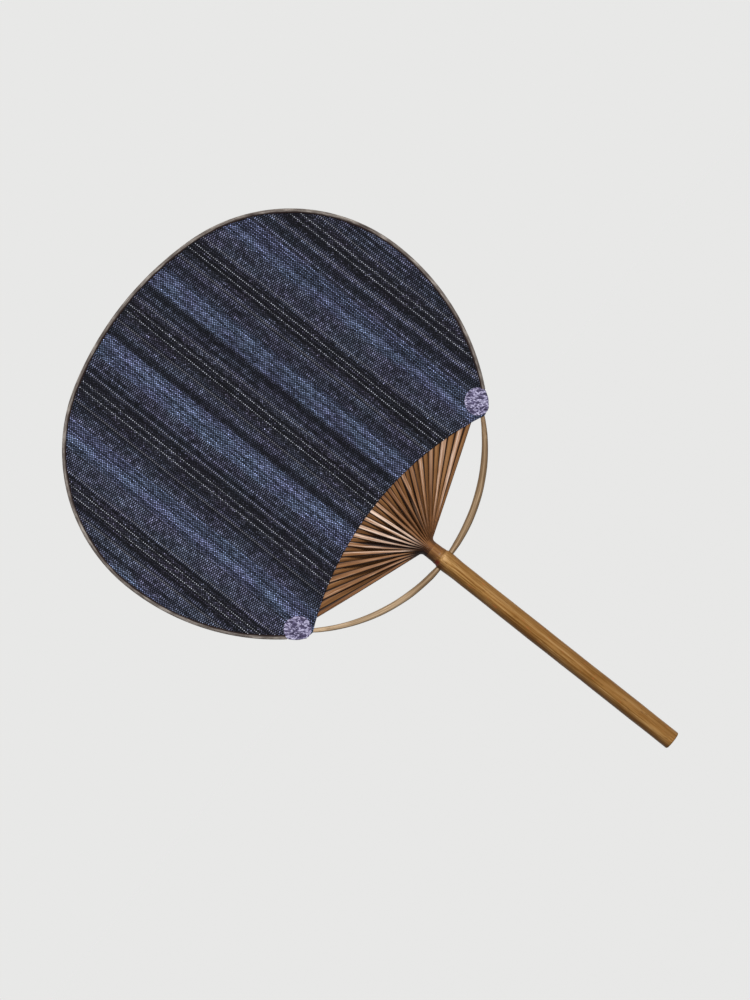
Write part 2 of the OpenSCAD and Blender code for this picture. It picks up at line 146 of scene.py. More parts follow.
def bell(value, middle, width):
    """1 at the middle, smoothly down to about 0 at two widths from it."""
    return np.exp(-((value - middle) / width) ** 2)


def progress(value, low, high):
    """0 up to low, 1 from high on, and in proportion between them."""
    return min(1, max(0, (value - low) / (high - low)))


def waves(values, scale, count=5):
    """A smooth random function of one value, about -1 to 1, with bumps about scale long."""
    total = np.zeros_like(values, dtype=float)
    for _ in range(count):
        length = scale * rng.uniform(0.7, 1.9)
        total += np.sin(values * 2 * math.pi / length + rng.uniform(0, 6.3))
    return total / math.sqrt(count)


# ---- meshes

def in_frame(points):
    """Points of [x, depth towards the front, height above the bow's hole] in the part's frame."""
    p = np.asarray(points, float)
    return np.stack([p[:, 0], -p[:, 1], p[:, 2] + BOW_Z], 1) * MM


class Shape:
    """Collects faces and points in mm, with each point's grain coordinates, tone and edge."""

    def __init__(self):
        self.points, self.faces, self.grain, self.tone, self.edge = [], [], [], [], []
        self.count = 0

    def add(self, points, grain=None, tone=0.5, edge=0.0):
        points = np.asarray(points, float)
        first = self.count
        self.points.append(points)
        self.grain.append(points if grain is None else np.asarray(grain, float))
        self.tone.append(np.broadcast_to(np.asarray(tone, float), len(points)))
        self.edge.append(np.broadcast_to(np.asarray(edge, float), len(points)))
        self.count += len(points)
        return first

    def row(self, points):
        """Adds points and gives their numbers."""
        return list(range(self.add(points), self.count))

    def join(self, first, second):
        """Faces between two rows of numbers, with three corners where a number repeats."""
        for corners in zip(first, first[1:], second[1:], second):
            self.faces.append(tuple(dict.fromkeys(corners)))

    def skin(self, rings, grain=None, tone=0.5, edge=0.0, closed=True, caps=True):
        """Adds rings, each with the same number of points, and joins each to the next."""
        rings = np.asarray(rings, float)
        grain = None if grain is None else np.reshape(grain, (-1, 3))
        first = self.add(rings.reshape(-1, 3), grain, tone, edge)
        numbers = np.arange(first, self.count).reshape(rings.shape[:2]).tolist()
        wrap = 1 if closed else 0
        for a, b in zip(numbers, numbers[1:]):
            self.join(a + a[:wrap], b + b[:wrap])
        if caps:
            self.faces += [tuple(numbers[0][::-1]), tuple(numbers[-1])]

    def build(self, name, material, nodes, sharp):
        """Makes the piece, which rides on the one body and stands for its nodes."""
        mesh = bpy.data.meshes.new(name)
        mesh.from_pydata(in_frame(np.concatenate(self.points)).tolist(), [], self.faces)
        grain = mesh.attributes.new("grain", "FLOAT_VECTOR", "POINT")
        grain.data.foreach_set("vector", np.concatenate(self.grain).astype(np.float32).ravel())
        for label, values in (("tone", self.tone), ("edge", self.edge)):
            layer = mesh.attributes.new(label, "FLOAT", "POINT")
            layer.data.foreach_set("value", np.concatenate(values).astype(np.float32))
        solid = bmesh.new()
        solid.from_mesh(mesh)
        bmesh.ops.recalc_face_normals(solid, faces=solid.faces)
        solid.to_mesh(mesh)
        solid.free()
        mesh.shade_smooth()
        mesh.set_sharp_from_angle(angle=math.radians(sharp))
        piece = bpy.data.objects.new(name, mesh)
        scene.collection.objects.link(piece)
        mesh.materials.append(material)
        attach(piece, "root")
        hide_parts(*nodes)
        return piece


# ---- materials

def linear(colour):
    """A colour of 0 to 255 as the renderer's linear colour."""
    c = np.asarray(colour, float) / 255
    return (*np.where(c <= 0.04045, c / 12.92, ((c + 0.055) / 1.055) ** 2.4), 1.0)


class Graph:
    """The shader nodes of a material or a world."""

    def __init__(self, data):
        self.data = data
        data.use_nodes = True
        self.nodes, self.links = data.node_tree.nodes, data.node_tree.links

    def feed(self, socket, value):
        if isinstance(value, bpy.types.NodeSocket):
            self.links.new(value, socket)
        else:
            socket.default_value = value

    def node(self, kind, inputs, out=0, **settings):
        node = self.nodes.new("ShaderNode" + kind)
        for key, value in settings.items():
            setattr(node, key, value)
        for key, value in inputs.items():
            self.feed(node.inputs[key], value)
        return node.outputs[out]

    def math(self, operation, *values):
        return self.node("Math", dict(enumerate(values)), operation=operation)

    def close(self, kind, value):
        """Adds the output node of a graph that was cleared."""
        self.feed(self.nodes.new("ShaderNode" + kind).inputs[0], value)


class Paint(Graph):
    """Builds one procedural material; values are the shader's own uniform settings."""

    def __init__(self, name, **values):
        super().__init__(bpy.data.materials.new(name))
        self.shader = self.nodes["Principled BSDF"]
        for key, value in values.items():
            self.shader.inputs[key.replace("_", " ")].default_value = value

    def add(self, first, second):
        return self.math("ADD", first, second)

    def less(self, first, second):
        return self.math("SUBTRACT", first, second)

    def mul(self, first, second):
        return self.math("MULTIPLY", first, second)

    def gap(self, value, place):
        """How far a value is from a place, either way."""
        return self.math("ABSOLUTE", self.less(value, place))

    def wobble(self, noise, amount):
        """A noise of 0 to 1 as a shift to either side."""
        return self.mul(self.less(noise, 0.5), amount)

    def total(self, *parts):
        """The sum of values, each times its weight."""
        (value, weight), *rest = parts
        own = self.mul(value, weight)
        return self.add(own, self.total(*rest)) if rest else own

    def axis(self, vector, k):
        return self.node("SeparateXYZ", {0: vector}, out=k)

    def scaled(self, vector, factor):
        return self.node("VectorMath", {0: vector, 3: factor}, operation="SCALE")

    def times(self, vector, *scale):
        return self.node("VectorMath", {0: vector, 1: scale}, operation="MULTIPLY")

    def noise(self, vector, scale, detail, roughness=0.5):
        return self.node("TexNoise", {"Vector": self.times(vector, *scale), "Scale": 1.0,
                                      "Detail": detail, "Roughness": roughness})

    def span(self, value, low, high, start=0.0, end=1.0, smooth=False):
        return self.node("MapRange", {0: value, 1: low, 2: high, 3: start, 4: end},
                         interpolation_type="SMOOTHSTEP" if smooth else "LINEAR")

    def ease(self, *values):
        return self.span(*values, smooth=True)

    def ramp(self, factor, stops):
        node = self.nodes.new("ShaderNodeValToRGB")
        elements = node.color_ramp.elements
        while len(elements) < len(stops):
            elements.new(0.5)
        for element, (place, colour) in zip(elements, stops):
            element.position = place
        for element, (place, colour) in zip(elements, stops):
            element.color = linear(colour)
        self.feed(node.inputs[0], factor)
        return node.outputs[0]

    def mix(self, factor, first, second, blend="MIX"):
        return self.node("Mix", {0: factor, 6: first, 7: second}, out=2, data_type="RGBA",
                         blend_type=blend)

    def tint(self, colour, factor, shade):
        """A colour mixed with a shade of 0 to 255."""
        return self.mix(factor, colour, linear(shade))

    def mapped(self):
        """The piece's own coordinates, in mm."""
        return self.times(self.node("TexCoord", {}, out=3), 1000, 1000, 1000)

    def attribute(self, name, out):
        return self.node("Attribute", {}, out=out, attribute_name=name)

    def finish(self, colour, roughness=None, height=None, depth=0.02):
        """Joins the colour, the roughness and a height of 0 to 1 that is depth mm high."""
        self.feed(self.shader.inputs["Base Color"], colour)
        if roughness is not None:
            self.feed(self.shader.inputs["Roughness"], roughness)
        if height is not None:
            bump = self.node("Bump", {"Height": height, "Distance": depth * MM, "Strength": 1.0})
            self.links.new(bump, self.shader.inputs["Normal"])
        return self.data


def neck_brown_with_painted_shade(p, x):
    """The neck's brown, with painted shade on the left and at the right edge, and fine lines along
    it.
    """
    side = p.less(p.span(x, -2.6, 1.2), p.span(x, 1.8, 3.6, 0, 0.45))
    lines = p.noise(p.mapped(), (2.6, 2.6, 0.22), 3, 0.6)
    side = p.add(side, p.span(lines, 0.32, 0.68, -0.4, 0.3))
    return p.mix(side, linear((46, 21, 10)), linear((138, 92, 54)))


def smoked_cane():
    """The handle: amber bamboo skin with dark streaks, flecks and a red-brown node, with painted
    shade on its sides and a painted highlight at the node.
    """
    p = Paint("smoked_cane", Specular_IOR_Level=0.08, Coat_Weight=0.02, Coat_Roughness=0.25)
    at = p.mapped()
    x, y, z = (p.axis(at, k) for k in range(3))
    fibre = p.noise(at, (1.8, 1.8, 0.045), 4, 0.7)
    streak = p.noise(at, (0.55, 0.55, 0.012), 3, 0.6)
    cloud = p.noise(at, (0.16, 0.16, 0.05), 2)
    tone = p.total((fibre, 0.8), (streak, 0.5), (cloud, 0.25))
    colour = p.ramp(p.span(tone, 0.5, 1.05), [
        (0.0, (76, 44, 14)), (0.35, (140, 96, 44)), (0.6, (178, 134, 78)), (1.0, (230, 188, 132))])
    # painted shade: darker away from the front's middle, most on the left; darker towards the
    # hand, partly the cane's own tone and partly the hand's painted shadow
    uneven = p.add(p.add(x, 0.4), p.wobble(fibre, 2.4))
    colour = p.tint(colour, p.ease(uneven, 0.3, 3.4, 0, 0.5), (112, 76, 36))
    colour = p.tint(colour, p.ease(uneven, -0.3, -3.0, 0, 0.6), (80, 46, 12))
    colour = p.tint(colour, p.span(z, 45, 0, 0, 0.22), (112, 74, 32))
    # brown flecks, and larger red ones
    for fine, slow, low, share, shade in ((1.7, 0.22, 0.66, 0.55, (92, 58, 26)),
                                          (0.9, 0.2, 0.68, 0.5, (178, 98, 54))):
        fleck = p.span(p.noise(at, (fine, fine, slow), 1), low, low + 0.06)
        colour = p.tint(colour, p.mul(fleck, share), shade)
    # the node: a painted highlight over a broken dark line, painted shade on the swell's left, a
    # red patch on its left, and a redder neck
    above = p.add(p.less(z, BOW_Z), p.wobble(p.noise(at, (0.5, 0.5, 0.1), 2), 1.6))

    def band_at(height, inner, outer):
        return p.less(1, p.ease(p.gap(above, height), inner, outer))

    neck = p.mul(p.span(above, 1.6, 4.4), p.span(fibre, 0.3, 0.7, 1.0, 0.6))
    colour = p.mix(neck, colour, neck_brown_with_painted_shade(p, x))
    # painted highlight: a pale band across the node, brightest on the front and fading to the
    # sides
    ridge = p.mul(p.ease(p.gap(x, 1.0), 0.3, 3.0, 1, 0),
                  p.span(fibre, 0.38, 0.6, 0.05, 0.75))
    colour = p.tint(colour, p.mul(band_at(0.9, 0.1, 2.2), ridge), (222, 180, 126))
    # painted shade on the left of the swell
    left = p.span(x, -0.8, -3.2, 0, 0.6)
    colour = p.tint(colour, p.mul(band_at(0.8, 0.5, 3.5), left), (72, 34, 14))
    broken = p.span(fibre, 0.42, 0.58, 0.0, 0.6)
    colour = p.tint(colour, p.mul(band_at(2.7, 0.05, 0.5), broken), (74, 44, 24))
    patch = p.mul(p.span(x, -1.2, -2.6), band_at(2.6, 0.5, 1.5))
    colour = p.tint(colour, p.mul(patch, 0.8), (96, 24, 16))
    # painted shade in a ring around the bow's hole, where the bow goes in, and the end grain at
    # the butt
    low = p.less(z, BOW_Z)
    hole = p.math("SQRT", p.add(p.mul(y, y), p.mul(low, low)))
    rim = p.less(1, p.ease(hole, 1.5, 2.1))
    colour = p.tint(colour, p.mul(rim, 0.75), (52, 30, 16))
    cells = p.node("TexVoronoi", {"Vector": p.times(at, 3.2, 3.2, 0.1), "Scale": 1.0})
    grain = p.mix(p.span(cells, 0.1, 0.45), linear((120, 80, 40)), linear((205, 170, 118)))
    colour = p.mix(p.span(z, -69.8, -69.95), colour, grain)
    height = p.total((fibre, 0.6), (streak, 0.4))
    return p.finish(colour, p.span(fibre, 0.3, 0.7, 0.3, 0.42), height, 0.05)


def split_bamboo(name, dark, middle, light, gloss, side, neck=True):
    """Ribs and bow: strips with fibres along them, a tone of their own, and sides darkened as
    painted shade.
    """
    p = Paint(name, Specular_IOR_Level=0.1, Coat_Weight=gloss, Coat_Roughness=0.25)
    at, tone, edge = p.attribute("grain", 1), p.attribute("tone", 2), p.attribute("edge", 2)
    along = p.axis(at, 2)
    fibre = p.noise(at, (5.0, 5.0, 0.12), 3, 0.6)
    streak = p.noise(at, (1.3, 1.3, 0.03), 2)
    value = p.total((fibre, 0.5), (streak, 0.5))
    value = p.add(p.span(value, 0.3, 0.7), p.span(tone, 0, 1, -0.3, 0.5))
    colour = p.ramp(value, [(0.0, dark), (0.5, middle), (1.0, light)])
    if neck:
        x = p.axis(p.mapped(), 0)
        right = p.span(x, -1, 2.5)
        # on the far right a painted highlight runs along the middle of each rib
        line = p.mul(p.ease(edge, 0.0, 0.4, 0.2, 0), p.span(x, 18, 40))
        colour = p.tint(colour, line, light)
        # the neck's brown, with its painted shade, reaches further up the ribs on the right
        near = p.math("DIVIDE", along, p.add(1, right))
        colour = p.mix(p.ease(near, 2.5, 13, 1, 0), colour, neck_brown_with_painted_shade(p, x))
        # near the neck the painted shade lines between the ribs are weaker on the right, wider on
        # the left
        weaker = p.mul(p.span(along, 10, 26, 0.65, 0), right)
        edge = p.add(edge, p.mul(p.span(along, 12, 34, 0.22, 0), p.less(1, right)))
    else:
        # the bow is darker near the handle, has a painted highlight along its middle, and is
        # streaked
        away = p.math("ABSOLUTE", along)
        weaker = p.span(away, 10, 30, 0.0, 0.4)
        colour = p.tint(colour, p.span(away, 6, 24, 0.15, 0), dark)
        colour = p.tint(colour, p.ease(edge, 0.0, 0.3, 0.35, 0), light)
        strand = p.noise(at, (1.6, 1.6, 0.05), 2, 0.6)
        colour = p.tint(colour, p.span(strand, 0.46, 0.6, 0, 0.5), dark)
    # painted shade: each strip darkens towards its edges into the side colour, which also stands
    # for the shade in the gaps between ribs
    uneven = p.add(edge, p.wobble(fibre, 0.35))
    lines = p.mul(p.ease(uneven, 0.36, 0.72), p.less(1, weaker))
    return p.finish(p.tint(colour, lines, side), p.span(fibre, 0.3, 0.7, 0.35, 0.55), fibre, 0.03)


def striped_cotton(name, phase):
    """Plain weave of dark weft and striped warp, with dotted white yarns in the dark bands."""
    repeat = 42.8
    warp, weft = repeat / 65, 0.54      # distances between yarns
    dark_to, grey_to = 5.0, 15.4        # the bands' edges, from the middle of a dark one
    p = Paint(name, Roughness=0.92, Specular_IOR_Level=0.15, Sheen_Weight=0.05,
              Sheen_Roughness=0.4)
    at = p.mapped()
    # the yarns run a little off straight
    drift = p.wobble(p.noise(at, (0.05, 0, 0.02), 1), 0.7)
    x = p.add(p.less(p.axis(at, 0), phase), drift)
    z = p.add(p.axis(at, 2), p.wobble(p.noise(at, (0.02, 0, 0.05), 1), 1.2))
    yarn, pick = (p.math("FLOOR", p.math("DIVIDE", place, pitch))
                  for place, pitch in ((x, warp), (z, weft)))
    across = p.math("WRAP", p.mul(p.add(yarn, 0.5), warp), repeat / 2, -repeat / 2)
    off = p.math("ABSOLUTE", across)
    in_dark = p.math("LESS_THAN", off, dark_to)
    grey = p.mul(p.math("GREATER_THAN", off, dark_to), p.math("LESS_THAN", off, grey_to))
    # in the grey bands two yarns run as one, so the weave shows short bars across the stripes
    lead = p.less(yarn, p.mul(grey, p.math("FLOORED_MODULO", yarn, 2.0)))
    wave_z = p.math("SINE", p.mul(z, math.pi / weft))
    fine, broad = (p.mul(wave_z, p.math("SINE", p.mul(x, math.pi / w))) for w in (warp, 2 * warp))
    weave = p.total((fine, p.less(1, grey)), (broad, grey))
    relief = p.math("POWER", p.math("ABSOLUTE", weave), 0.85)
    band = p.ramp(p.math("DIVIDE", off, repeat / 2), [
        (0.0, (60, 60, 73)), (0.222, (60, 60, 73)), (0.238, (88, 91, 112)),
        (0.715, (88, 92, 114)), (0.755, (113, 123, 157)), (1.0, (116, 127, 162))])
    # each yarn has its own shade, which changes along it, and so has each stitch; in the dark
    # bands single stitches are light
    own = p.node("TexWhiteNoise", {"W": lead}, noise_dimensions="1D")
    slub, run = (p.noise(p.node("CombineXYZ", {0: lead, 2: z}), scale, 2)
                 for scale in ((0.7, 0, 0.11), (5.3, 0, 0.3)))
    cell = p.node("TexWhiteNoise", {"Vector": p.node("CombineXYZ", {0: lead, 1: pick})})
    shade = p.mul(p.span(own, 0, 1, 0.25, 1.75), p.span(slub, 0.25, 0.75, 0.65, 1.35))
    shade = p.mul(shade, p.span(run, 0.3, 0.7, 0.4, 1.6))
    stitch = p.span(p.math("POWER", cell, 8), 0, 1, 0.6, 3.9)
    shade = p.mul(shade, p.node("Mix", {0: in_dark, 2: p.span(cell, 0, 1, 0.45, 1.55), 3: stitch}))
    band = p.scaled(band, shade)
    # patches of a greener and of a more purple blue
    patch = p.span(p.noise(at, (0.11, 0, 0.05), 2, 0.6), 0.38, 0.62)
    patch = p.mix(patch, (1.05, 0.97, 1.02, 1), (0.95, 1.03, 0.98, 1))
    band = p.mix(1.0, band, patch, "MULTIPLY")
    # two light yarns in the grey bands, and the dotted white ones in the dark bands
    pale = p.add(*(p.math("COMPARE", across, n * warp, 0.1) for n in (9.5, -11.5)))
    band = p.tint(band, p.mul(pale, 0.55), (156, 156, 166))
    # the white dots dim towards their edges as painted shade of the weave's relief
    dots = p.scaled(linear((208, 212, 226))[:3], p.mul(relief, p.span(cell, 0, 1, 0.2, 1.25)))
    band = p.mix(p.math("COMPARE", off, 2.5 * warp, 0.1), band, dots)
    own = p.node("TexWhiteNoise", {"W": pick}, noise_dimensions="1D")
    dark = p.scaled(linear((10, 11, 19))[:3], p.span(own, 0, 1, 0.6, 1.4))
    body = p.mix(p.span(weave, -0.12, 0.12), dark, band)
    # painted shade: each stitch darkens towards its edges where the yarns dip; the mottle is
    # random
    mottle = p.noise(at, (0.09, 0.09, 0.05), 3, 0.6)
    light = p.mul(p.span(relief, 0, 1, 0.05, 1.45), p.span(mottle, 0.3, 0.7, 0.8, 1.2))
    return p.finish(p.scaled(body, light), None, relief, 0.03)


def edging_paper():
    """Edging: brown paper with lines along the rim and a dark line where it meets the cloth."""
    p = Paint("edging_paper", Specular_IOR_Level=0.1, Sheen_Weight=0.05)
    at = p.attribute("grain", 1)
    lines = p.noise(at, (2.6, 1.5, 0.2), 4, 0.75)
    cloud = p.noise(at, (0.3, 0.3, 0.12), 2, 0.6)
    value = p.total((lines, 0.6), (cloud, 0.4))
    colour = p.ramp(p.span(value, 0.34, 0.66), [
        (0, (54, 45, 42)), (0.5, (116, 107, 101)), (1, (190, 181, 172))])
    uneven = p.add(p.axis(at, 0), p.wobble(cloud, 0.6))
    colour = p.tint(colour, p.ease(uneven, -1.2, -1.7), (38, 26, 25))
    return p.finish(colour, p.span(lines, 0.3, 0.7, 0.7, 0.85), value, 0.05)


def crepe():
    """Ear patches: lavender crepe with fine fibres, painted highlights on its creases and painted
    shade in the hollows between them.
    """
    p = Paint("lavender_crepe", Specular_IOR_Level=0.25, Sheen_Weight=0.1)
    at = p.mapped()
    swirl = p.node("TexNoise", {"Vector": at, "Scale": 0.32, "Detail": 2.0}, out=1)
    bend = p.node("VectorMath", {0: at, 1: p.scaled(swirl, 2.6)}, operation="ADD")
    # the creases run along the first of these directions
    along, beside = (p.node("VectorMath", {0: bend, 1: way}, out=1, operation="DOT_PRODUCT")
                     for way in ((0.62, 0, -0.78), (0.78, 0, 0.62)))
    bend = p.node("CombineXYZ", {0: p.mul(along, 0.62), 1: p.mul(beside, 1.5)})
    fibre = p.noise(at, (1.6, 1.6, 1.6), 3, 0.7)
    curl = p.gap(p.noise(bend, (0.36, 0.36, 0), 2, 0.6), 0.5)
    stroke = p.gap(p.noise(bend, (0.5, 0.4, 0), 1, 0.5), 0.47)
    value = p.add(p.mul(fibre, 0.4), p.span(stroke, 0.0, 0.05, -0.25, 0.0))
    value = p.add(p.mul(p.span(curl, 0.0, 0.075, 0.9, 0.0), 0.75), value)
    # the same values raise the bump, so the creases' light is a painted highlight and the hollows'
    # dark is painted shade
    colour = p.ramp(value, [(0.0, (32, 27, 52)), (0.22, (78, 71, 102)), (0.5, (126, 119, 154)),
                            (0.9, (216, 212, 240))])
    return p.finish(colour, 0.7, value, 0.12)


def plain_fibre(name, stops, x, z, roughness):
    """Thread and plug: fine fibres, stretched along the height where z is less than x."""
    p = Paint(name, Specular_IOR_Level=0.3)
    fibre = p.noise(p.mapped(), (x, x, z), 3, 0.6)
    return p.finish(p.ramp(p.span(fibre, 0.3, 0.7), stops), roughness, fibre, 0.02)


# ---- handle

def cane_radius(height):
    """The cane's outer radius by its height above the bow's hole."""
    knots = [(BUTT, GRIP_R), (-9.0, GRIP_R), (0.0, SWELL_R), (0.8, SWELL_R), (2.8, NECK_R + 0.16),
             (3.1, NECK_R + 0.2), (4.8, NECK_R), (NECK_TOP, NECK_R)]
    (h0, r0), (h1, r1) = next(pair for pair in zip(knots, knots[1:]) if height <= pair[1][0])
    t = (height - h0) / (h1 - h0)
    return r0 + (r1 - r0) * (1 - math.cos(math.pi * t)) / 2


def make_handle():
    """The cane up to the neck's top, with the wall inside at its node and the bow's hole."""
    shape = Shape()
    sides = 112
    angles = np.linspace(0, 2 * math.pi, sides, endpoint=False)
    wall_low, wall_top = NODE_WALL
    inside = [(NODE_HOLE_R, wall_top), (BORE_R, wall_top), (BORE_R, NECK_TOP),
              (NECK_R - 0.07, NECK_TOP)]
    heights = np.concatenate([np.arange(8.2, 4.2, -0.5), np.arange(4.1, 0.9, -0.1),
                              np.arange(0.8, -9.2, -0.5), np.linspace(-10, BUTT + BUTT_ROUND, 88)])
    outside = [(cane_radius(h), h) for h in heights]
    outside += [(GRIP_R - BUTT_ROUND * (1 - math.cos(a)), BUTT + BUTT_ROUND * (1 - math.sin(a)))
                for a in np.linspace(0.2, math.pi / 2, 7)]
    bore = [(BORE_R + 0.12, BUTT), (BORE_R, BUTT + 0.12), (BORE_R, wall_low),
            (NODE_HOLE_R, wall_low)]
    bump = waves(angles, 2 * math.pi / 5, 4)
    rings = []
    for n, (r, h) in enumerate(inside + outside + bore):
        ring_r, ring_h = np.full(sides, r), np.full(sides, h)
        if 0 <= n - len(inside) < len(outside):
            # not quite round nor straight, with an uneven ridge at the node
            uneven = (0.035 * np.sin(2 * angles + 0.008 * h) + 0.03 * math.sin(h * 0.11 + 1)
                      + 0.03 * np.sin(3 * angles + 0.05 * h + 1) + 0.02 * math.sin(h * 0.31))
            ring_r += progress(h, 7.5, 5.5) * uneven + 0.07 * bell(h, 2.7, 0.9) * bump
            ring_h += 0.12 * bell(h, 2.5, 1.2) * np.cos(angles - 2.2)
        rings.append(np.stack([ring_r * np.cos(angles), ring_r * np.sin(angles), ring_h], 1))
    shape.skin(rings)
    piece = shape.build("handle_cane", smoked_cane(), ["handle"], sharp=38)
    # the hole that the bow passes through
    bpy.ops.mesh.primitive_cylinder_add(vertices=48, radius=BOW_HOLE_R * MM, depth=14 * MM,
                                        location=(0, 0, (BOW_Z + BOW_HOLE_RISE) * MM),
                                        rotation=(0, math.pi / 2, 0))
    cutter = bpy.context.object
    cut = piece.modifiers.new("hole", "BOOLEAN")
    cut.operation, cut.solver, cut.object = "DIFFERENCE", "EXACT", cutter
    view = bpy.context.evaluated_depsgraph_get()
    bored = bpy.data.meshes.new_from_object(piece.evaluated_get(view))
    piece.modifiers.clear()
    piece.data = bored
    bpy.data.objects.remove(cutter)
    bored.set_sharp_from_angle(angle=math.radians(38))


# ---- ribs

def rib_lean(i):
    """A rib's lean from upright, in the disc."""
    return (i - (RIBS - 1) / 2) * RIB_PITCH


def rib_turn(i):
    """A rib's place round the cane, from the front's middle."""
    return (math.floor(i / 2) + 0.5) * SECTOR - math.pi / 2


def rib_start(i):
    """Where a rib's line leaves the neck, in the disc's plane."""
    return np.array([WALL_MID * math.sin(rib_turn(i)), SPLIT_HEIGHT])


def slice_corners(turn_angle):
    """A slice of the neck's wall, as four corners about its middle."""
    half = SECTOR / 2 - SLICE_GAP
    corners = ((NECK_R, -half), (NECK_R, half), (BORE_R, half), (BORE_R, -half))
    return np.array([r * heading(turn_angle + a) - WALL_MID * heading(turn_angle)
                     for r, a in corners])


# a section's points, as shares of its half width and half thickness: square, where the slices
# lie face to face in the neck, and crowned, where the ribs have been shaved
SQUARE = np.array([(-1, 0), (-1, 1), (-0.5, 1), (0, 1), (0.5, 1), (1, 1),
                   (1, 0), (1, -1), (0.5, -1), (0, -1), (-0.5, -1), (-1, -1)], float)
CROWNED = np.array([(-1, 0.3), (-0.76, 0.74), (-0.45, 0.93), (0, 1), (0.45, 0.93), (0.76, 0.74),
                    (1, 0.3), (0.76, -0.72), (0.45, -0.93), (0, -1), (-0.45, -0.93),
                    (-0.76, -0.72)])
# the material darkens a section towards its edges as painted shade
EDGES = np.array([1, 0.62, 0.2, 0, 0.2, 0.62] * 2)      # how near a section's point is to its edge


def rib_section(turn_angle, cut, width, blend, crown):
    """A rib's section between its slice of the cane (blend 0) and its flat form (blend 1)."""
    first = 0 if abs(turn_angle) < math.pi / 4 else 1 if turn_angle > 0 else 3
    quad = np.roll(cut, first, axis=0)
    u, v = (SQUARE + crown * (CROWNED - SQUARE)).T
    weights = np.stack([(1 - u) * (1 + v), (1 + u) * (1 + v), (1 + u) * (1 - v),
                        (1 - u) * (1 - v)], 1)
    flat = np.stack([u * width / 2, v * RIB_THICK / 2], 1)
    return (1 - blend) * (weights / 4 @ quad) + blend * flat


